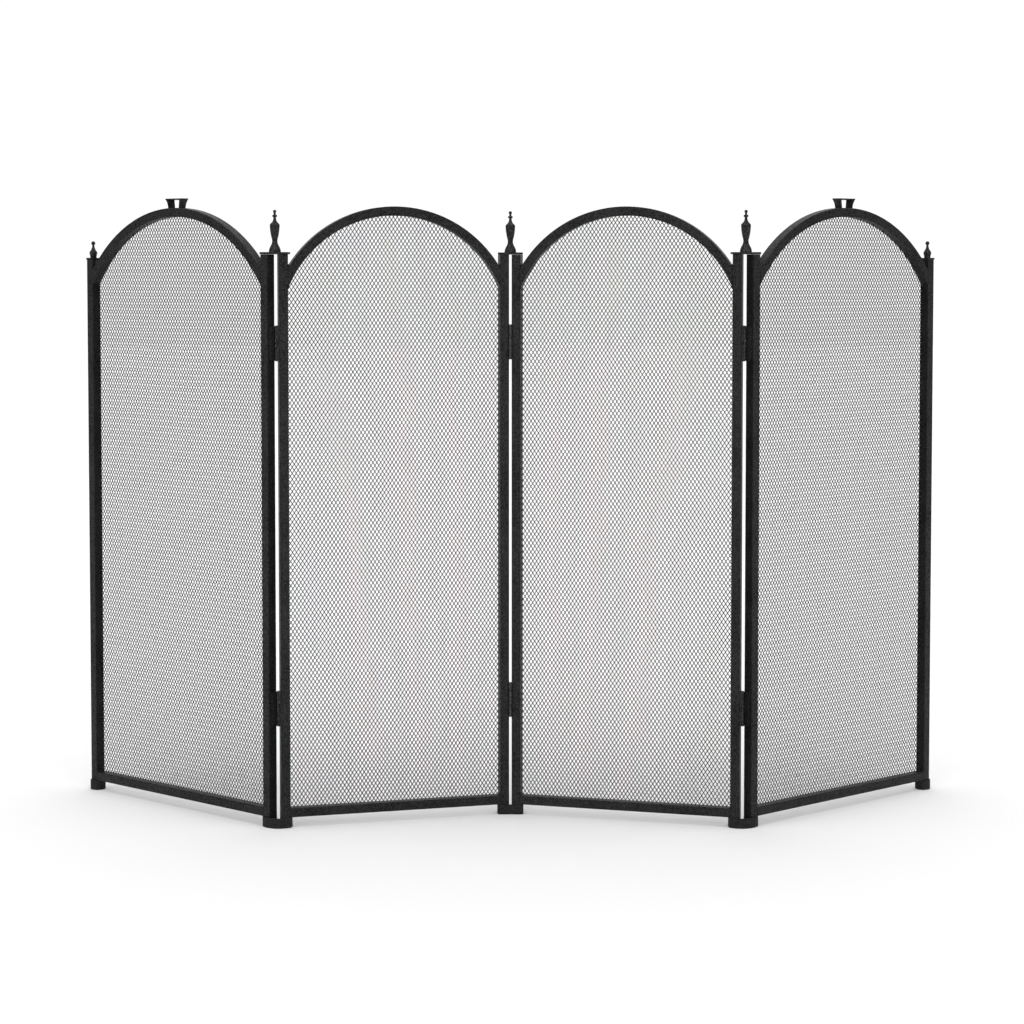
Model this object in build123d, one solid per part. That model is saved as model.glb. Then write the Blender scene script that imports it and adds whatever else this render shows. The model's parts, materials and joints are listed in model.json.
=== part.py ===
from build123d import *
import os
from math import cos, radians, sin, sqrt

# Four-panel folding fireplace screen, in millimetres: +X right, +Y away from the viewer, +Z up.
# Each arched panel is a welded frame of rectangular tube with a sheet of diamond mesh near its
# back. Two hinges join each pair of panels. The two side joints fold the outer panels back and
# the centre joint folds the middle panels' fronts together, so the open screen stands zigzag.

# ---- Frame tube ----
TUBE_W = 12.7            # across the face
TUBE_D = 15.0            # front to back
TUBE_WALL = 1.2
TUBE_CORNER = 1.2        # rounding of the outer corners
ARCH_CHAMFER = 0.8       # the same on the bent tube

# ---- Panels ----
MIDDLE_WIDTH = 324.7     # over the two stiles
OUTER_WIDTH = 380.2
MIDDLE_RISE = 84.3       # crest above the place where the arch's top edge meets the stiles
OUTER_RISE = 87.1
CAP_SEAT_Z = 787.8       # stile tops at the joints
CREST_Z = CAP_SEAT_Z + 65.9      # top of every arch
POST_TOP_Z = CAP_SEAT_Z - 6.4    # top of the free post of each outer panel

# ---- Mesh ----
MESH_DEPTH = 12.4        # front face of the frame to the mesh
MESH_THICK = 0.9         # through the woven strands
MESH_SHARE = 0.35        # part of the mesh's area that is metal
SHEET_THICK = MESH_THICK * MESH_SHARE
BEAD_W = 2.0             # flat strip that holds the mesh's edge
BEAD_T = 1.4

# ---- Joints ----
GAP = 2.0                # between the stiles when the screen is flat
PIN_OFFSET = 1.9         # hinge axis outside the face that folds together
SIDE_BEND = 56.4         # degrees away from flat, as the screen stands
CENTRE_BEND = 31.3
SWING_CLEAR = 0.2        # under a cap and over a foot, at the stile that swings

# ---- Hinges ----
HINGE_Z = (139.5, CAP_SEAT_Z - 145.3)  # underside of the lowest knuckle of each hinge
KNUCKLE_R = 2.1
END_KNUCKLE = 20.0
MID_KNUCKLE = 7.4        # space between the end knuckles
KNUCKLE_PLAY = 0.25      # over and under the middle knuckle
LEAF_T = 0.8
LEAF_DEPTH = 11.0        # along the side of the stile
PIN_R = 1.05
PIN_PLAY = 0.05          # round the pin, on the radius
PIN_HEAD_R = 1.9
PIN_HEAD_T = 0.8
KNUCKLE_SWEEP = 0.3      # between a leaf and the other leaf's knuckle

# ---- Caps, feet, posts ----
CAP_T = 3.0
CAP_OVER = -0.2          # beyond the corners of the two stiles
CAP_CORNER = 3.5
CAP_BEVEL = 0.7
FOOT_H = 14.0
FOOT_OVER = 0.7
FOOT_BULGE = 10.5        # of a side foot's front, beyond the corners of the stiles
FOOT_FLANK = 6.0         # straight flank behind those corners
CENTRE_FOOT_DEPTH = 18.5
CENTRE_FOOT_CORNER = 4.0
NOTCH_SIDE = 0.4         # wedge between the stiles that leaves the gap open to the floor
NOTCH_WALL = 2.5         # foot's thickness in front of the wedge
FOOT_ROUND = 1.2         # rounding of the edge on the floor
FERRULE_R = 11.1
PLATE_T = 2.4
PLATE_OVER = 0.5
SPIGOT_L = 14.0          # peg inside the tube
SPIGOT_PLAY = 0.15

# ---- Lift handles on the outer arches ----
HANDLE_TOP = 35.5        # length of the grip
HANDLE_FOOT = 23.9       # over the two legs where they meet the arch
HANDLE_BOW = 27.4        # over the two legs at half height
HANDLE_FINGER = (20.0, 22.8)     # between the legs, at the arch and under the grip
HANDLE_RISE = 13.2
STRAP_T = 2.0
STRAP_EDGE = 1.0         # thickness left at the grip's ends
STRAP_W = 11.7

# ---- Turned finials: curves of (height above the seat, radius) that meet at crisp edges ----
TALL_FINIAL = [
    [(0, 8.3), (1.9, 8.1), (4.8, 7.4), (7.5, 6.2), (10.5, 4.6), (13.3, 3.8), (16.2, 3.7), (19.0, 4.3)],
    [(19.0, 4.3), (21.7, 5.0), (27.3, 6.0), (32.7, 6.6), (36.8, 6.8)],
    [(36.8, 6.8), (38.4, 6.0), (40.8, 3.7), (43.2, 2.4), (45.6, 1.9), (47.6, 1.8)],
]
SHORT_FINIAL = [
    [(0, 4.7), (1.6, 4.7), (3.4, 4.95), (5.2, 5.4), (6.8, 5.75)],
    [(6.8, 5.75), (8.3, 5.5), (10.3, 4.3), (12.4, 3.0), (14.6, 2.2), (16.8, 1.7), (18.3, 1.7)],
]
COLLAR_R = 3.3           # disc between the tall finial's body and its ball
COLLAR_T = 3.0
COLLAR_NECK = 2.3        # between the collar and the ball
STEM_SHARE = 0.85        # stem inside the ball and collar, as a share of the neck
TALL_BALL_R = 2.3
SHORT_BALL_R = 3.0


def block(x, y, z):
    """Box between the two values of each pair."""
    size = [high - low for low, high in (x, y, z)]
    return Pos(x[0], y[0], z[0]) * Box(*size, align=(Align.MIN, Align.MIN, Align.MIN))


def upright(face, y_from, y_to):
    """Solid of an outline drawn in X and Z, between two depths."""
    return Pos(0, y_from, 0) * extrude(Plane.XZ * face, amount=y_from - y_to)


def disc(radius, z_from, z_to, x=0.0, y=0.0):
    low_end = (Align.CENTER, Align.CENTER, Align.MIN)
    return Pos(x, y, z_from) * Cylinder(radius, z_to - z_from, align=low_end)


# ---- One panel, front face on Y = 0, left edge on X = 0 ----
RAIL_Z = (FOOT_H + SWING_CLEAR, FOOT_H + SWING_CLEAR + TUBE_W)


def arch_radius(width, rise):
    """Radius of the arch's top edge, from the span between the stiles and the rise."""
    half = width / 2 - TUBE_W
    return (half * half + rise * rise) / (2 * rise)


def spring_z(width, radius):
    """Height, over the arch's centre, where a circle of the arch meets the stiles."""
    half = width / 2 - TUBE_W
    return sqrt(radius * radius - half * half)


def rounded_bar(x, y, z, axis):
    """Box with its four long edges rounded, along the given axis."""
    bar = block(x, y, z)
    return fillet(bar.edges().filter_by(axis), TUBE_CORNER)


def stile(x, z_from, z_to):
    outside = rounded_bar((x, x + TUBE_W), (0, TUBE_D), (z_from, z_to), Axis.Z)
    hollow_x = (x + TUBE_WALL, x + TUBE_W - TUBE_WALL)
    return outside - block(hollow_x, (TUBE_WALL, TUBE_D - TUBE_WALL), (z_from, z_to))


def rail(width):
    span = (TUBE_W, width - TUBE_W)
    outside = rounded_bar(span, (0, TUBE_D), RAIL_Z, Axis.X)
    hollow_z = (RAIL_Z[0] + TUBE_WALL, RAIL_Z[1] - TUBE_WALL)
    return outside - block(span, (TUBE_WALL, TUBE_D - TUBE_WALL), hollow_z)


def arch_face(width, centre_z, outer_r, inner_r):
    """Ring between two circles, cut off at the stiles."""
    half = width / 2 - TUBE_W
    outer_z = centre_z + spring_z(width, outer_r)
    inner_z = centre_z + spring_z(width, inner_r)
    edges = [
        ThreePointArc((-half, outer_z), (0, centre_z + outer_r), (half, outer_z)),
        Line((half, outer_z), (half, inner_z)),
        ThreePointArc((half, inner_z), (0, centre_z + inner_r), (-half, inner_z)),
        Line((-half, inner_z), (-half, outer_z)),
    ]
    return Pos(width / 2, 0) * make_face(edges)


def arch(width, radius):
    centre_z = CREST_Z - radius
    outside = upright(arch_face(width, centre_z, radius, radius - TUBE_W), 0, TUBE_D)
    outside = chamfer(outside.edges().filter_by(GeomType.CIRCLE), ARCH_CHAMFER)
    bore = arch_face(width, centre_z, radius - TUBE_WALL, radius - TUBE_W + TUBE_WALL)
    return outside - upright(bore, TUBE_WALL, TUBE_D - TUBE_WALL)


def opening_face(width, radius, inset):
    """Outline of the panel's opening, moved inwards by inset."""
    half = width / 2 - TUBE_W - inset
    inner_r = radius - TUBE_W - inset
    centre_z = CREST_Z - radius
    floor_z = RAIL_Z[1] + inset
    side_z = centre_z + sqrt(inner_r * inner_r - half * half)
    edges = [
        Polyline((-half, side_z), (-half, floor_z), (half, floor_z), (half, side_z)),
        ThreePointArc((half, side_z), (0, centre_z + inner_r), (-half, side_z)),
    ]
    return Pos(width / 2, 0) * make_face(edges)


def mesh_sheet(width, radius):
    """Solid sheet with the same volume as the open diamond mesh."""
    return upright(opening_face(width, radius, 0), MESH_DEPTH, MESH_DEPTH + SHEET_THICK)


def mesh_bead(width, radius):
    strip = opening_face(width, radius, 0) - opening_face(width, radius, BEAD_W)
    back_of_mesh = MESH_DEPTH + SHEET_THICK
    return upright(strip, back_of_mesh, back_of_mesh + BEAD_T)


def handle(width, radius):
    """Strap handle: two legs that flare outwards from the arch into a flat grip."""
    top_z = CREST_Z + HANDLE_RISE
    foot_z = CREST_Z - STRAP_T
    foot, bow, tip = HANDLE_FOOT / 2, HANDLE_BOW / 2, HANDLE_TOP / 2
    outer = [
        ThreePointArc((foot, foot_z), (bow, CREST_Z + HANDLE_RISE / 2), (tip, top_z - STRAP_EDGE)),
        Line((tip, top_z - STRAP_EDGE), (tip, top_z)),
    ]
    outline = make_face(outer + [mirror(edge, about=Plane.YZ) for edge in outer]
                        + [Line((tip, top_z), (-tip, top_z)), Line((foot, foot_z), (-foot, foot_z))])
    low, high = HANDLE_FINGER[0] / 2, HANDLE_FINGER[1] / 2
    finger_z = top_z - STRAP_T
    finger = make_face(Polyline((-low, foot_z), (low, foot_z), (high, finger_z), (-high, finger_z),
                                (-low, foot_z)))
    face = Pos(width / 2, 0) * (outline - finger)
    face -= Pos(width / 2, CREST_Z - radius) * Circle(radius)
    centre_y = TUBE_D / 2
    return upright(face, centre_y - STRAP_W / 2, centre_y + STRAP_W / 2)


# ---- Where the panels stand ----
MIDDLE_ARCH_R = arch_radius(MIDDLE_WIDTH, MIDDLE_RISE)
OUTER_ARCH_R = arch_radius(OUTER_WIDTH, OUTER_RISE)
CENTRE_TURN = CENTRE_BEND / 2
OUTER_TURN = SIDE_BEND - CENTRE_TURN
JOINT_TURN = (OUTER_TURN - CENTRE_TURN) / 2
FRONT_AXIS_Y = -PIN_OFFSET
BACK_AXIS_Y = TUBE_D + PIN_OFFSET


def seat(world, turn, axis_x, axis_y):
    """Placement that brings a panel's own hinge axis to a place in plan."""
    return Pos(world.X, world.Y, 0) * Rot(0, 0, turn) * Pos(-axis_x, -axis_y, 0)


centre_axis = Vector(0, 0, 0)
seat_left = seat(centre_axis, CENTRE_TURN, MIDDLE_WIDTH + GAP / 2, FRONT_AXIS_Y)
seat_right = seat(centre_axis, -CENTRE_TURN, -GAP / 2, FRONT_AXIS_Y)
left_axis = (seat_left * Pos(-GAP / 2, BACK_AXIS_Y, 0)).position
right_axis = (seat_right * Pos(MIDDLE_WIDTH + GAP / 2, BACK_AXIS_Y, 0)).position
seat_far_left = seat(left_axis, -OUTER_TURN, OUTER_WIDTH + GAP / 2, BACK_AXIS_Y)
seat_far_right = seat(right_axis, OUTER_TURN, -GAP / 2, BACK_AXIS_Y)

# name, width, arch radius, placement, kind of the left stile, kind of the right stile
PANELS = [
    ("left_outer", OUTER_WIDTH, OUTER_ARCH_R, seat_far_left, "post", "swing"),
    ("left_middle", MIDDLE_WIDTH, MIDDLE_ARCH_R, seat_left, "seat", "seat"),
    ("right_middle", MIDDLE_WIDTH, MIDDLE_ARCH_R, seat_right, "swing", "seat"),
    ("right_outer", OUTER_WIDTH, OUTER_ARCH_R, seat_far_right, "swing", "post"),
]
STILE_Z = {
    "post": (FOOT_H, POST_TOP_Z),
    "seat": (FOOT_H, CAP_SEAT_Z),
    "swing": (FOOT_H + SWING_CLEAR, CAP_SEAT_Z - SWING_CLEAR),
}


# ---- Caps, feet and posts ----
def spigot(stile_x, z_from, z_to):
    """Peg that fills a stile's bore, in the panel's frame."""
    inset = TUBE_WALL + SPIGOT_PLAY
    return block((stile_x + inset, stile_x + TUBE_W - inset), (inset, TUBE_D - inset), (z_from, z_to))


def in_joint(x, reach, bend):
    """Point of a stile, from its distances to the axis when flat, in the bent joint's frame."""
    half = radians(bend / 2)
    return x * cos(half) + reach * sin(half), reach * cos(half) - x * sin(half)


def joint_span(bend):
    """Half width, and near and far reach from the axis, of the two stiles in plan."""
    near, far = PIN_OFFSET, PIN_OFFSET + TUBE_D
    width = in_joint(GAP / 2 + TUBE_W, far, bend)[0]
    return width, in_joint(GAP / 2 + TUBE_W, near, bend)[1], in_joint(GAP / 2, far, bend)[1]


def cap(bend, side, place, peg):
    """Plate over both stiles of a joint. side is -1 where the stiles lie in front of the axis."""
    half_w, low, high = joint_span(bend)
    depth = high - low + 2 * CAP_OVER
    plan = RectangleRounded(2 * (half_w + CAP_OVER), depth, CAP_CORNER)
    plate = extrude(Pos(0, side * (low + high) / 2, CAP_SEAT_Z) * plan, amount=CAP_T)
    rim = plate.edges().filter_by_position(Axis.Z, CAP_SEAT_Z, CAP_SEAT_Z)
    return place * chamfer(rim, CAP_BEVEL) + peg


def bowed_plan(bend):
    """Side foot's plan: front bowed past the stiles, straight flanks, back along their corners."""
    half_w, low = joint_span(bend)[:2]
    wide, corner = half_w + FOOT_OVER, in_joint(GAP / 2 + TUBE_W, PIN_OFFSET + TUBE_D, bend)[1]
    back = in_joint(GAP / 2 + TUBE_W, PIN_OFFSET, bend)[0] + FOOT_OVER
    flank = corner - FOOT_FLANK
    bow = ThreePointArc((wide, -corner), (0, -corner - FOOT_BULGE), (-wide, -corner))
    rest = Polyline((-wide, -corner), (-wide, -flank), (-back, FOOT_OVER - low), (back, FOOT_OVER - low),
                    (wide, -flank), (wide, -corner))
    return make_face([bow, rest])


def notch(bend, side, front, back):
    """Wedge between the stiles, open at the back, that shows the floor through the joint."""
    near = in_joint(GAP / 2, PIN_OFFSET, bend)
    far = in_joint(GAP / 2, PIN_OFFSET + TUBE_D, bend)
    slope = (far[0] - near[0]) / (far[1] - near[1])
    ends = [(near[0] + slope * abs(y - side * near[1]) + NOTCH_SIDE, y) for y in (front, side * near[1], back)]
    corners = ends + [(-x, y) for x, y in reversed(ends)]
    return make_face(Polyline(*corners, corners[0]))


def foot(bend, side, place, peg):
    half_w, low, high = joint_span(bend)
    if side < 0:
        plan = bowed_plan(bend)
    else:
        size = (2 * (half_w + FOOT_OVER), CENTRE_FOOT_DEPTH, CENTRE_FOOT_CORNER)
        plan = Pos(0, (low + high) / 2) * RectangleRounded(*size)
    edge = plan.bounding_box()
    wedge = notch(bend, side, edge.min.Y + NOTCH_WALL, edge.max.Y + NOTCH_WALL)
    body = extrude(plan, amount=FOOT_H)
    rim = body.edges().filter_by_position(Axis.Z, 0, 0)
    body = fillet(rim, FOOT_ROUND) - extrude(wedge, amount=FOOT_H)
    return place * body + peg


def ferrule(stile_x):
    x, y = stile_x + TUBE_W / 2, TUBE_D / 2
    body = disc(FERRULE_R, 0, FOOT_H, x, y)
    rim = body.edges().filter_by_position(Axis.Z, 0, 0)
    return fillet(rim, FOOT_ROUND) + spigot(stile_x, FOOT_H, FOOT_H + SPIGOT_L)


def post_plate(stile_x):
    x = (stile_x - PLATE_OVER, stile_x + TUBE_W + PLATE_OVER)
    plate = block(x, (-PLATE_OVER, TUBE_D + PLATE_OVER), (POST_TOP_Z, POST_TOP_Z + PLATE_T))
    return plate + spigot(stile_x, POST_TOP_Z - SPIGOT_L, POST_TOP_Z)


def turned(curves, ball_r, collar):
    """Finial turned from its curves, with a ball on top and, if wanted, a collar below the ball."""
    neck_z, neck_r = curves[-1][-1]
    side = [Spline(*[(radius, z) for z, radius in curve]) for curve in curves]
    ends = [Polyline((neck_r, neck_z), (0, neck_z), (0, 0), (curves[0][0][1], 0))]
    body = revolve(Plane.XZ * make_face(side + ends), Axis.Z)
    ball_z = neck_z + ball_r + (COLLAR_T + COLLAR_NECK if collar else 0)
    body += disc(neck_r * STEM_SHARE, neck_z, ball_z)
    if collar:
        ring = disc(COLLAR_R, neck_z, neck_z + COLLAR_T)
        body += fillet(ring.edges().filter_by(GeomType.CIRCLE), COLLAR_T * 0.3)
    return body + Pos(0, 0, ball_z) * Sphere(ball_r)


# ---- Hinges ----
# Built on the axis: the stiles lie on the +Y side, and the leaf's own stile on the +X side.
KNUCKLES = 2 * END_KNUCKLE + MID_KNUCKLE
MIDDLE_Z = (END_KNUCKLE + KNUCKLE_PLAY, END_KNUCKLE + MID_KNUCKLE - KNUCKLE_PLAY)


def leaf_plate():
    depth = (0, PIN_OFFSET + LEAF_DEPTH)
    return block((GAP / 2 - LEAF_T, GAP / 2), depth, (0, KNUCKLES))


def bored(shape):
    return shape - disc(PIN_R + PIN_PLAY, 0, KNUCKLES)


def end_leaf():
    """Leaf with the upper and lower knuckles, cut away round the middle one."""
    middle = (END_KNUCKLE, END_KNUCKLE + MID_KNUCKLE)
    body = leaf_plate() - disc(KNUCKLE_R + KNUCKLE_SWEEP, *middle)
    body += disc(KNUCKLE_R, 0, END_KNUCKLE)
    body += disc(KNUCKLE_R, END_KNUCKLE + MID_KNUCKLE, KNUCKLES)
    return bored(body)


def middle_leaf():
    """Leaf with the middle knuckle, cut away round the two end ones."""
    body = leaf_plate()
    for span in ((0, MIDDLE_Z[0]), (MIDDLE_Z[1], KNUCKLES)):
        body -= disc(KNUCKLE_R + KNUCKLE_SWEEP, *span)
    return bored(body + disc(KNUCKLE_R, *MIDDLE_Z))


def pin():
    heads = disc(PIN_HEAD_R, -PIN_HEAD_T, 0) + disc(PIN_HEAD_R, KNUCKLES, KNUCKLES + PIN_HEAD_T)
    return disc(PIN_R, 0, KNUCKLES) + heads


def mounted(leaf, on_left, side, turn):
    """Leaf turned to its own stile. side is -1 where the stiles lie in front of the axis."""
    if on_left:
        leaf = mirror(leaf, about=Plane.YZ)
    if side < 0:
        leaf = mirror(leaf, about=Plane.XZ)
    return Rot(0, 0, turn) * leaf


# ---- Build ----
parts = {}

for name, width, radius, place, left_kind, right_kind in PANELS:
    parts[name + "_stile_l"] = place * stile(0, *STILE_Z[left_kind])
    parts[name + "_stile_r"] = place * stile(width - TUBE_W, *STILE_Z[right_kind])
    parts[name + "_arch"] = place * arch(width, radius)
    parts[name + "_rail"] = place * rail(width)
    parts[name + "_mesh"] = place * mesh_sheet(width, radius)
    parts[name + "_bead"] = place * mesh_bead(width, radius)

# name, axis, turn of the left panel, turn of the right panel, turn of the joint, bend, side,
# fixed stile: whether on the left of the joint, its panel's placement, its X
FAR_STILE = MIDDLE_WIDTH - TUBE_W
JOINTS = [
    ("left", left_axis, -OUTER_TURN, CENTRE_TURN, -JOINT_TURN, SIDE_BEND, -1, False, seat_left, 0),
    ("centre", centre_axis, CENTRE_TURN, -CENTRE_TURN, 0, CENTRE_BEND, 1, True, seat_left, FAR_STILE),
    ("right", right_axis, -CENTRE_TURN, OUTER_TURN, JOINT_TURN, SIDE_BEND, -1, True, seat_right,
     FAR_STILE),
]

for name, axis, turn_l, turn_r, turn, bend, side, on_left, panel, stile_x in JOINTS:
    place = Pos(axis.X, axis.Y, 0)
    for level, z in zip(("lower", "upper"), HINGE_Z):
        lift = place * Pos(0, 0, z)
        fixed_turn, swing_turn = (turn_l, turn_r) if on_left else (turn_r, turn_l)
        hinge = name + "_hinge_" + level
        parts[hinge + "_end_leaf"] = lift * mounted(end_leaf(), on_left, side, fixed_turn)
        parts[hinge + "_mid_leaf"] = lift * mounted(middle_leaf(), not on_left, side, swing_turn)
        parts[hinge + "_pin"] = lift * pin()
    plan = place * Rot(0, 0, turn)
    cap_peg = panel * spigot(stile_x, CAP_SEAT_Z - SPIGOT_L, CAP_SEAT_Z)
    foot_peg = panel * spigot(stile_x, FOOT_H, FOOT_H + SPIGOT_L)
    low, high = joint_span(bend)[1:]
    parts[name + "_cap"] = cap(bend, side, plan, cap_peg)
    parts[name + "_foot"] = foot(bend, side, plan, foot_peg)
    finial_place = plan * Pos(0, side * (low + high) / 2, CAP_SEAT_Z + CAP_T)
    parts[name + "_finial"] = finial_place * turned(TALL_FINIAL, TALL_BALL_R, True)

for name, width, radius, place, left_kind, right_kind in PANELS:
    if "post" not in (left_kind, right_kind):
        continue
    post_x = 0 if left_kind == "post" else width - TUBE_W
    end = name.split("_")[0] + "_post"
    parts[end + "_ferrule"] = place * ferrule(post_x)
    parts[end + "_plate"] = place * post_plate(post_x)
    top = Pos(post_x + TUBE_W / 2, TUBE_D / 2, POST_TOP_Z + PLATE_T)
    parts[end + "_finial"] = place * top * turned(SHORT_FINIAL, SHORT_BALL_R, False)
    parts[name + "_handle"] = place * handle(width, radius)

# The origin is on the floor, in the middle of the screen's plan.
boxes = [shape.bounding_box() for shape in parts.values()]
mid_x = (min(box.min.X for box in boxes) + max(box.max.X for box in boxes)) / 2
mid_y = (min(box.min.Y for box in boxes) + max(box.max.Y for box in boxes)) / 2
to_origin = Pos(-mid_x, -mid_y, 0)

os.makedirs("parts", exist_ok=True)
for name, shape in parts.items():
    export_step(to_origin * shape, "parts/" + name + ".step")
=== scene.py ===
# %% [markdown]
# # A folding fireplace screen
# The real object is a free-standing screen of four arched panels. Each panel is a welded frame of
# thin rectangular tube, powder coated black, with a sheet of black diamond mesh inside it. Butt
# hinges join the panels, turned finials stand over the joints, and two strap handles on the outer
# arches lift it. The design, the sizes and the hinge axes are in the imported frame. This notebook
# adds what the eye sees: open mesh, welds, coatings, a pale floor and studio light.

# %% Load the frame
import json
from math import cos, pi, radians, sin, sqrt

import bpy
from mathutils import Matrix, Vector

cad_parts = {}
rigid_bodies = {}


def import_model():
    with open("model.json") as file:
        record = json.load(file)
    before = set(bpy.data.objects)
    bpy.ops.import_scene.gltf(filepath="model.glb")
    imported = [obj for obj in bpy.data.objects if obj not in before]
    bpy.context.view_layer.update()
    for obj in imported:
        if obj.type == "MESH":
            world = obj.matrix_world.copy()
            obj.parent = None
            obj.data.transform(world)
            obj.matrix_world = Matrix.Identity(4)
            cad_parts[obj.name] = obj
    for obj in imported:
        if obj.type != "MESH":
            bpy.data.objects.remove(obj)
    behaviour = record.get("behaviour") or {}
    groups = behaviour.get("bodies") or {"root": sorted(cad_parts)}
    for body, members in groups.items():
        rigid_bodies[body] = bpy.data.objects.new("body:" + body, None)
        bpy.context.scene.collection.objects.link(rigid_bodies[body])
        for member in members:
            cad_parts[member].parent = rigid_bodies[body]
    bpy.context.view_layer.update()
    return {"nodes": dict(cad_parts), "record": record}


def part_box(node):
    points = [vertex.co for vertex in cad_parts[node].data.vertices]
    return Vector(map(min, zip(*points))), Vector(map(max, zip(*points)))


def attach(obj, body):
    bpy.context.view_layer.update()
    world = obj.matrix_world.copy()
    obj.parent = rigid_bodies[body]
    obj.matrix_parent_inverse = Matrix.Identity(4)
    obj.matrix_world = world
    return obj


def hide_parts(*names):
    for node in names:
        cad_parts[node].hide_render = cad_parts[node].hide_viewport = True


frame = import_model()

record = frame["record"]

# %% [markdown]
# ## Camera
# A long lens far from the screen keeps the uprights nearly parallel. It looks down by three
# degrees from a little below the caps, and the lens is shifted down so that the screen sits in the
# middle of the frame, as a studio camera with a shift lens does.

# %% Place the camera
CAMERA_FROM_HINGES = 3.2831
CAMERA_Z = 0.7712
CAMERA_TILT = 2.994
LENS_MM = 84.5

joints = {joint["name"]: joint for joint in record["behaviour"]["joints"]}
side_axis_y = joints["left_fold"]["pos_m"][1]

bpy.ops.object.select_all(action="DESELECT")
bpy.ops.object.camera_add(location=(0, side_axis_y - CAMERA_FROM_HINGES, CAMERA_Z),
                          rotation=(radians(90 - CAMERA_TILT), 0, 0))
camera = bpy.context.object
camera.data.lens = LENS_MM
camera.data.sensor_width = 36
camera.data.shift_x = 0.0016
camera.data.shift_y = -0.117
camera.data.clip_end = 60
bpy.context.scene.camera = camera
print("camera", LENS_MM, "mm, at", [round(value, 3) for value in camera.location])

# %% [markdown]
# ## Where each panel stands
# Everything added here is first made in a panel's own frame, with its left edge on X = 0, its
# front face on Y = 0 and the floor on Z = 0, because a square frame is easy to measure. Then it is
# turned and moved to the panel. The turn comes from the hinges: a joint's lower limit is how far
# it stands from flat.

# %% Panel placements
MM = 0.001
TUBE_W = 12.7 * MM

centre_bend = -joints["centre_fold"]["range_deg"][0]
side_bend = -joints["left_fold"]["range_deg"][0]
outer_turn = radians(side_bend - centre_bend / 2)
middle_turn = radians(centre_bend / 2)
TURNS = {"left_outer": -outer_turn, "left_middle": middle_turn,
         "right_middle": -middle_turn, "right_outer": outer_turn}


def in_panel_box(node, turn):
    """Size of an upright node along its own panel, from its box in the room."""
    low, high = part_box(node)
    size_x, size_y = high[0] - low[0], high[1] - low[1]
    c, s = cos(turn), abs(sin(turn))
    along = (size_x * c - size_y * s) / (c * c - s * s)
    return along, (low[0] + high[0]) / 2, (low[1] + high[1]) / 2


panels = {}
for panel, turn in TURNS.items():
    opening, middle_x, middle_y = in_panel_box(panel + "_mesh", turn)
    low, top = (corner[2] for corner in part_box(panel + "_arch"))
    half, tall = opening / 2, top - low
    radius = (tall * tall + half * half - TUBE_W * TUBE_W) / (2 * (tall - TUBE_W))
    panels[panel] = {"turn": turn, "opening": opening, "width": opening + 2 * TUBE_W,
                     "middle": Vector((middle_x, middle_y)), "radius": radius,
                     "centre": Vector((half + TUBE_W, top - radius)),
                     "rail_top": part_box(panel + "_rail")[1][2]}
    print(panel, "turned", round(turn * 180 / pi, 2), "deg, opening", round(opening, 4), "m wide,",
          "arch radius", round(radius, 4), "m")

# %% [markdown]
# ## Helpers for the bench
# Blender's operators act on whatever is selected, so every piece starts by deselecting all, and
# each helper below leaves one object active. Pieces are made lying in their own panel's frame, with
# X across the panel and Y into it, and then stood where that panel stands.

# %% Small helpers
def fresh():
    if bpy.context.mode != "OBJECT":
        bpy.ops.object.mode_set(mode="OBJECT")
    bpy.ops.object.select_all(action="DESELECT")


def only(piece):
    fresh()
    piece.select_set(True)
    bpy.context.view_layer.objects.active = piece


def apply_all(piece):
    only(piece)
    for modifier in list(piece.modifiers):
        bpy.ops.object.modifier_apply(modifier=modifier.name)


def join(pieces, name):
    only(pieces[0])
    for piece in pieces[1:]:
        piece.select_set(True)
    bpy.ops.object.join()
    joined = bpy.context.object
    joined.name = name
    return joined


def stand_in_panel(piece, panel):
    """Moves a piece made in a panel's own frame to where that panel stands."""
    place = panels[panel]
    only(piece)
    offset = Matrix.Translation((-place["width"] / 2, -MESH_MIDDLE, 0))
    there = Matrix.Translation((*place["middle"], 0)) @ Matrix.Rotation(place["turn"], 4, "Z")
    piece.matrix_world = there @ offset @ piece.matrix_world
    bpy.ops.object.transform_apply(location=True, rotation=True, scale=True)


MESH_MIDDLE = 12.5575 * MM
print("helpers ready")

# %% [markdown]
# ## Diamond mesh
# The screen cloth is expanded steel: narrow flat strands that run up in zigzags and meet at the
# corners of tall diamonds. It could be a sheet with a pattern of holes painted on as transparency,
# but real strands catch light on their edges and hide each other when seen from the side. So one
# zigzag step is extruded from a small rectangle, repeated up the panel and across it by two array
# modifiers, and cut to the arch. The strand ends run into the tube all round, which leaves the
# saw-toothed edge such screens show, so the sheet also stands for the bead that borders the cloth.
#
# Each step has only eight faces, because each panel repeats it ten to thirteen thousand times.

# %% One zigzag step
PITCH_X = 5.5 * MM
PITCH_Z = 8.38 * MM
STRAND_W = 1.25 * MM       # cut level, across the slanted strand
STRAND_T = 0.35 * MM
NEST = 0.12 * MM           # neighbouring strands lie this much before and behind the sheet's middle


def zigzag_step(name, hand):
    fresh()
    bpy.ops.mesh.primitive_plane_add(size=1, location=(0, 0, 0))
    step = bpy.context.object
    step.name = name
    step.scale = (STRAND_W, STRAND_T, 1)
    bpy.ops.object.transform_apply(scale=True)
    bpy.ops.object.mode_set(mode="EDIT")
    bpy.ops.mesh.select_all(action="SELECT")
    bpy.ops.mesh.delete(type="ONLY_FACE")
    bpy.ops.mesh.select_all(action="SELECT")
    for way in (hand, -hand):
        shift = (way * PITCH_X / 2, 0, PITCH_Z / 2)
        bpy.ops.mesh.extrude_region_move(TRANSFORM_OT_translate={"value": shift})
    bpy.ops.mesh.select_all(action="SELECT")
    bpy.ops.transform.translate(value=(0, -hand * NEST, 0))
    bpy.ops.mesh.normals_make_consistent(inside=False)
    bpy.ops.object.mode_set(mode="OBJECT")
    return step


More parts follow.
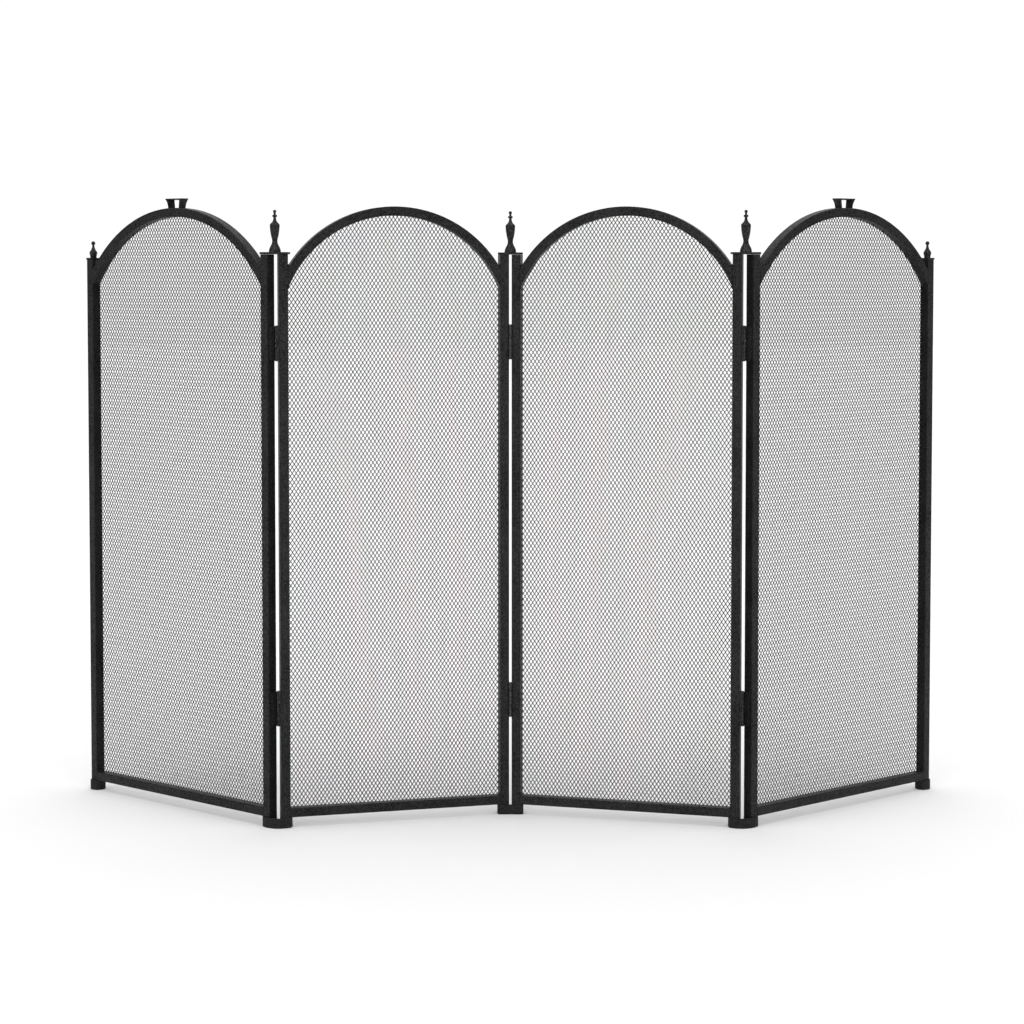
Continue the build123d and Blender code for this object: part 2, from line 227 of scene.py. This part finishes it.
def repeat(piece, count, offset):
    only(piece)
    row = piece.modifiers.new("repeat", "ARRAY")
    row.count = count
    row.use_relative_offset = False
    row.use_constant_offset = True
    row.constant_offset_displace = offset
    row.use_merge_vertices = offset[2] > 0
    row.merge_threshold = 0.01 * MM
    bpy.ops.object.modifier_apply(modifier=row.name)


first = zigzag_step("zigzag", 1)
print("one step has", len(first.data.polygons), "faces")
bpy.data.objects.remove(first)

# %% [markdown]
# The sheet is never quite even. Two soft cloud textures push the strands a fraction of a
# millimetre sideways and up, over a hand's breadth, so that the rows wander as they do in sheet
# that was stretched and then pressed into a frame. Each panel takes a different part of the cloud.

# %% Weave a panel and cut it to its arch
MESH_LAP = 1.2 * MM        # strands that start beyond the opening by more than this are cut away
BELOW_RAIL = 4 * MM        # where the weave starts, before it is cut
WANDER = 1.5 * MM


def wander(piece, axis, strength, size, start):
    cloud = bpy.data.textures.new(piece.name + "_wander_" + axis, "CLOUDS")
    cloud.noise_scale = size
    middle = bpy.data.objects.new(piece.name + "_wander_from", None)
    middle.location = start
    bpy.context.collection.objects.link(middle)
    push = piece.modifiers.new("wander", "DISPLACE")
    push.texture = cloud
    push.texture_coords = "OBJECT"
    push.texture_coords_object = middle
    push.direction = axis
    push.mid_level = 0.5
    push.strength = strength
    apply_all(piece)
    bpy.data.objects.remove(middle)


def weave(panel, number):
    place = panels[panel]
    low_z = place["rail_top"] - BELOW_RAIL
    rows = int((place["centre"].y + place["radius"] - low_z) / PITCH_Z) + 1
    columns = int(place["opening"] / PITCH_X) + 2
    hands = []
    for hand in (1, -1):
        strand = zigzag_step(panel + "_strand", hand)
        repeat(strand, rows, (0, 0, PITCH_Z))
        repeat(strand, columns, (PITCH_X, 0, 0))
        hands.append(strand)
    sheet = join(hands, panel + "_diamond_mesh")
    slack = (columns - 1) * PITCH_X - place["opening"]
    sheet.location = (TUBE_W - slack / 2, MESH_MIDDLE, low_z)
    bpy.ops.object.transform_apply(location=True)
    wander(sheet, "X", WANDER, 0.1, (0.37 * number, 0, 0.21 * number))
    wander(sheet, "Z", WANDER, 0.12, (0.53 * number, 0.4, -0.3 * number))
    cut_to_arch(sheet, place)
    stand_in_panel(sheet, panel)
    return sheet


def cut_to_arch(sheet, place):
    centre_x, centre_z = place["centre"]
    inner = place["radius"] - TUBE_W + MESH_LAP
    half = place["opening"] / 2 + MESH_LAP

    def outside(point):
        x, z = point.x - centre_x, point.z - centre_z
        above_arch = z > 0 and x * x + z * z > inner * inner
        return abs(x) > half or point.z < place["rail_top"] - MESH_LAP or above_arch

    out = [outside(point.co) for point in sheet.data.vertices]
    only(sheet)
    bpy.ops.object.mode_set(mode="EDIT")
    bpy.ops.mesh.select_mode(type="FACE")
    bpy.ops.mesh.select_all(action="DESELECT")
    bpy.ops.object.mode_set(mode="OBJECT")
    for face in sheet.data.polygons:
        face.select = all(out[index] for index in face.vertices)
    bpy.ops.object.mode_set(mode="EDIT")
    bpy.ops.mesh.delete(type="FACE")
    bpy.ops.mesh.select_all(action="SELECT")
    bpy.ops.mesh.fill_holes(sides=4)
    bpy.ops.mesh.select_all(action="SELECT")
    bpy.ops.mesh.normals_make_consistent(inside=False)
    bpy.ops.mesh.select_mode(type="VERT")
    bpy.ops.object.mode_set(mode="OBJECT")


# %% Make the four sheets
sheets = {}
for number, panel in enumerate(panels):
    sheet = weave(panel, number + 1)
    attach(sheet, panel)
    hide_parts(panel + "_mesh", panel + "_bead")
    sheets[panel] = sheet
    triangles = sum(len(face.vertices) - 2 for face in sheet.data.polygons)
    print(sheet.name, triangles, "triangles")

# %% [markdown]
# ## Welds
# The tubes are joined by short weld beads in their corners, left as they cooled and then coated
# over. A smooth fillet would look moulded, so a bead is extruded ring by ring from a ten-sided
# disc, and every other ring is a little wider, as the ripples of a weld are. One bead is made and
# its copies are placed in the corners.

# %% One rippled bead
BEAD_RINGS = 9


def weld_bead(radius, length):
    """Bead along Y, from Y = 0 to its length."""
    fresh()
    bpy.ops.mesh.primitive_circle_add(vertices=10, radius=radius * 0.55, fill_type="NGON",
                                      rotation=(pi / 2, 0, 0))
    bead = bpy.context.object
    bpy.ops.object.transform_apply(rotation=True)
    bpy.ops.object.mode_set(mode="EDIT")
    bpy.ops.mesh.select_all(action="SELECT")
    sizes = [1.6] + [1.13 if ring % 2 else 1 / 1.13 for ring in range(BEAD_RINGS - 2)] + [0.6]
    for size in sizes:
        step = (0, length / BEAD_RINGS, 0)
        bpy.ops.mesh.extrude_region_move(TRANSFORM_OT_translate={"value": step})
        bpy.ops.transform.resize(value=(size, 1, size), center_override=(0, 0, 0))
    bpy.ops.mesh.select_all(action="SELECT")
    bpy.ops.mesh.normals_make_consistent(inside=False)
    bpy.ops.object.mode_set(mode="OBJECT")
    bpy.ops.object.shade_smooth_by_angle(angle=radians(50))
    return bead


sample = weld_bead(2 * MM, 11 * MM)
sample_size = [round(side / MM, 2) for side in sample.dimensions]
print("bead", len(sample.data.polygons), "faces,", sample_size, "mm")
bpy.data.objects.remove(sample)

# %% [markdown]
# Three kinds of corner get beads: stile to rail inside the opening, the underside of each arch, and
# the narrow notch over each arch, where the bead closes the bottom of the notch. The right post's
# notch is left open. The left post's has a second, fatter bead near the plate, which leaves only a
# small dark hole.

# %% Beads of each panel
INSIDE_R = 2.0 * MM
NOTCH_R = 1.7 * MM
NOTCH_UP = 3.6 * MM        # above the bottom of the notch
UNDER_R = NOTCH_R * 0.9    # under the arch
CLOSING_R = NOTCH_R * 1.7  # the fat bead in the left post's notch
CLOSING_IN = 6.6 * MM
CLOSING_UP = 10.6 * MM
BEAD_FRONT = 1.3 * MM      # how far behind the front face a bead starts
BEAD_SHORT = 2.2 * MM      # how much shorter it is than the depth of the mesh


def bead_places(panel):
    """Radius, X and Z of every bead in the panel's frame."""
    place = panels[panel]
    centre_x, centre_z = place["centre"]
    half, radius = place["opening"] / 2, place["radius"]
    notch_z = centre_z + sqrt(radius ** 2 - half ** 2)
    under_z = centre_z + sqrt((radius - TUBE_W) ** 2 - half ** 2)
    lean = (half / radius) * (NOTCH_UP / 4)
    places = []
    for side in (-1, 1):
        edge = centre_x + side * half
        places.append((INSIDE_R, edge, place["rail_top"]))
        places.append((UNDER_R, edge, under_z))
        if panel != "right_outer" or side < 0:
            places.append((NOTCH_R, edge - side * lean, notch_z + NOTCH_UP))
    if panel == "left_outer":
        places.append((CLOSING_R, centre_x - half + CLOSING_IN, notch_z + CLOSING_UP))
    return places


for panel in panels:
    beads = []
    for radius, x, z in bead_places(panel):
        bead = weld_bead(radius, MESH_MIDDLE - BEAD_SHORT)
        bead.location = (x, BEAD_FRONT, z)
        bpy.ops.object.transform_apply(location=True)
        beads.append(bead)
    welds = join(beads, panel + "_welds")
    stand_in_panel(welds, panel)
    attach(welds, panel)
    print(welds.name, len(beads), "beads")

# %% [markdown]
# ## Coatings
# Everything is black, but not the same black. The tubes have a satin powder coat with a fine
# pebbled skin. The strands have a thinner, slightly duller coat. The finials, caps and plates are
# castings, coarser under the same coat. The hinge leaves are smoother, the pins are bare dark
# steel, and the feet are moulded plastic. One function builds them all: a broad noise drifts
# between two close tints, and a fine noise makes the pebbles of the coat, which differ in height,
# in tint and in how much they shine.

# %% A black coat
FINE_CELLS = 0.45          # noise cells of the pebbles, per pebble size
SPECK_CELLS = 0.16         # of the broader patches in the gloss
MATT, SHINY = 0.35, 1.65   # of the coat's sheen, in the hollows and on the tops


def coat(name, tints, gloss, pebble, depth, drift=18, metal=0.0, sheen=0.19):
    """A finish. Tints are two colours and gloss a range of roughness, pebble and depth are in m."""
    finish = bpy.data.materials.new(name)
    finish.use_nodes = True
    nodes, links = finish.node_tree.nodes, finish.node_tree.links
    shader = nodes["Principled BSDF"]
    shader.inputs["Metallic"].default_value = metal
    place = nodes.new("ShaderNodeTexCoord")

    def noise(scale, detail):
        texture = nodes.new("ShaderNodeTexNoise")
        texture.inputs["Scale"].default_value = scale
        texture.inputs["Detail"].default_value = detail
        texture.inputs["Roughness"].default_value = 0.6
        links.new(place.outputs["Object"], texture.inputs["Vector"])
        return texture.outputs["Fac"]

    def spread(source, low, high, to_low, to_high):
        ranged = nodes.new("ShaderNodeMapRange")
        for socket, value in zip(("From Min", "From Max", "To Min", "To Max"), (low, high, to_low, to_high)):
            ranged.inputs[socket].default_value = value
        links.new(source, ranged.inputs["Value"])
        return ranged.outputs["Result"]

    broad, fine, speck = noise(drift, 3), noise(FINE_CELLS / pebble, 2), noise(SPECK_CELLS / pebble, 4)
    blend = nodes.new("ShaderNodeMath")
    blend.operation = "ADD"
    links.new(spread(broad, 0.35, 0.65, 0, 0.5), blend.inputs[0])
    links.new(spread(fine, 0.4, 0.6, 0, 0.5), blend.inputs[1])
    colour = nodes.new("ShaderNodeMix")
    colour.data_type = "RGBA"
    links.new(blend.outputs[0], colour.inputs["Factor"])
    colour.inputs["A"].default_value = (*tints[0], 1)
    colour.inputs["B"].default_value = (*tints[1], 1)
    links.new(colour.outputs["Result"], shader.inputs["Base Color"])
    shine = spread(fine, 0.4, 0.6, MATT * sheen, SHINY * sheen)
    links.new(shine, shader.inputs["Specular IOR Level"])
    links.new(spread(speck, 0.3, 0.7, *gloss), shader.inputs["Roughness"])
    bump = nodes.new("ShaderNodeBump")
    bump.inputs["Strength"].default_value = 0.7
    bump.inputs["Distance"].default_value = depth
    links.new(fine, bump.inputs["Height"])
    links.new(bump.outputs["Normal"], shader.inputs["Normal"])
    return finish


FINISHES = {
    "frame": coat("satin_powder_coat", ((0.002, 0.002, 0.0022), (0.014, 0.014, 0.0155)), (0.36, 0.5),
                  0.75 * MM, 0.15 * MM),
    "mesh": coat("coated_strand", ((0.006, 0.006, 0.0065), (0.014, 0.014, 0.015)), (0.45, 0.6),
                 1.6 * MM, 0.04 * MM, drift=9),
    "fittings": coat("coated_casting", ((0.004, 0.004, 0.0043), (0.018, 0.018, 0.019)), (0.3, 0.46),
                     1.2 * MM, 0.22 * MM, drift=60, sheen=0.18),
    "hinge": coat("coated_leaf", ((0.008, 0.008, 0.0085), (0.022, 0.022, 0.023)), (0.22, 0.36),
                  0.8 * MM, 0.06 * MM, sheen=0.5),
    "pin": coat("dark_steel", ((0.06, 0.058, 0.055), (0.12, 0.115, 0.11)), (0.28, 0.45),
                0.6 * MM, 0.02 * MM, metal=1.0),
    "foot": coat("moulded_plastic", ((0.006, 0.006, 0.006), (0.012, 0.012, 0.0117)), (0.5, 0.66),
                 0.7 * MM, 0.03 * MM, drift=40),
}
print("finishes:", ", ".join(finish.name for finish in FINISHES.values()))

# %% Coat every CAD node and every new piece
for part in record["subparts"]:
    for place in frame["nodes"][part["node"]].material_slots:
        place.material = FINISHES[part["material_slot"]]
for panel, sheet in sheets.items():
    sheet.data.materials.clear()
    sheet.data.materials.append(FINISHES["mesh"])
    welds = bpy.data.objects[panel + "_welds"]
    welds.data.materials.clear()
    welds.data.materials.append(FINISHES["frame"])
print(len(record["subparts"]), "CAD nodes coated")

# %% [markdown]
# ## Floor and light
# The studio is white behind, with a large soft light overhead that leans a little towards the
# viewer and two soft boxes at the front, one on each side. Straight sideways and straight behind
# the viewer it is dark, so that the black fronts stay dark against the white. A world shader does
# it without lamps, by how nearly a direction points at each light. The floor is plain white and
# bright enough to run into the background, with only the soft shadow under the screen left on it.

# %% Floor
FLOOR_SIZE = 40
FLOOR_WHITE = 0.8

fresh()
bpy.ops.mesh.primitive_plane_add(size=FLOOR_SIZE, location=(0, 0, 0))
floor = bpy.context.object
floor.name = "studio_floor"
paint = bpy.data.materials.new("studio_white")
paint.use_nodes = True
matt = paint.node_tree.nodes["Principled BSDF"]
matt.inputs["Base Color"].default_value = (FLOOR_WHITE, FLOOR_WHITE, FLOOR_WHITE, 1)
matt.inputs["Roughness"].default_value = 0.95
matt.inputs["Specular IOR Level"].default_value = 0.1
floor.data.materials.append(paint)

# %% Light
BACK, FRONT, KEY, ABOVE = 0.98, 0.05, 1.45, 1.66
KEY_AIM = (0.77, -0.64)             # each front soft box stands 50 degrees round from the viewer
TOP_AIM = (-0.34, 0.94)             # the overhead one leans towards the viewer
# how nearly a direction points at a light where its edge starts, and where it is full
BACK_EDGE, KEY_EDGE, TOP_EDGE = (0.25, 0.75), (0.76, 0.97), (0.3, 0.85)

studio = bpy.data.worlds.new("studio")
bpy.context.scene.world = studio
studio.use_nodes = True
nodes, links = studio.node_tree.nodes, studio.node_tree.links


def sum_of(first, first_by, second, second_by):
    """The two sockets, each times its own number, added."""
    scaled = nodes.new("ShaderNodeMath")
    scaled.operation = "MULTIPLY"
    scaled.inputs[1].default_value = first_by
    links.new(first, scaled.inputs[0])
    total = nodes.new("ShaderNodeMath")
    total.operation = "MULTIPLY_ADD"
    total.inputs[1].default_value = second_by
    links.new(second, total.inputs[0])
    links.new(scaled.outputs[0], total.inputs[2])
    return total.outputs[0]


direction = nodes.new("ShaderNodeTexCoord")
split = nodes.new("ShaderNodeSeparateXYZ")
links.new(direction.outputs["Generated"], split.inputs["Vector"])
across = nodes.new("ShaderNodeMath")
across.operation = "ABSOLUTE"
links.new(split.outputs["X"], across.inputs[0])
key = sum_of(across.outputs[0], KEY_AIM[0], split.outputs["Y"], KEY_AIM[1])
top = sum_of(split.outputs["Y"], TOP_AIM[0], split.outputs["Z"], TOP_AIM[1])
light = None
lights = ((split.outputs["Y"], BACK_EDGE, BACK), (key, KEY_EDGE, KEY), (top, TOP_EDGE, ABOVE))
for source, edge, amount in lights:
    lobe = nodes.new("ShaderNodeMapRange")
    lobe.interpolation_type = "SMOOTHSTEP"
    for socket, value in zip(("From Min", "From Max", "To Min", "To Max"), (*edge, 0, amount)):
        lobe.inputs[socket].default_value = value
    links.new(source, lobe.inputs["Value"])
    total = nodes.new("ShaderNodeMath")
    total.operation = "ADD"
    links.new(lobe.outputs["Result"], total.inputs[0])
    if light is None:
        total.inputs[1].default_value = FRONT
    else:
        links.new(light, total.inputs[1])
    light = total.outputs[0]
nodes["Background"].inputs["Color"].default_value = (1, 1, 1, 1)
links.new(light, nodes["Background"].inputs["Strength"])
bpy.context.scene.view_settings.view_transform = "Standard"
print("studio lit: back", BACK, "front", FRONT, "keys", KEY, "above", ABOVE)
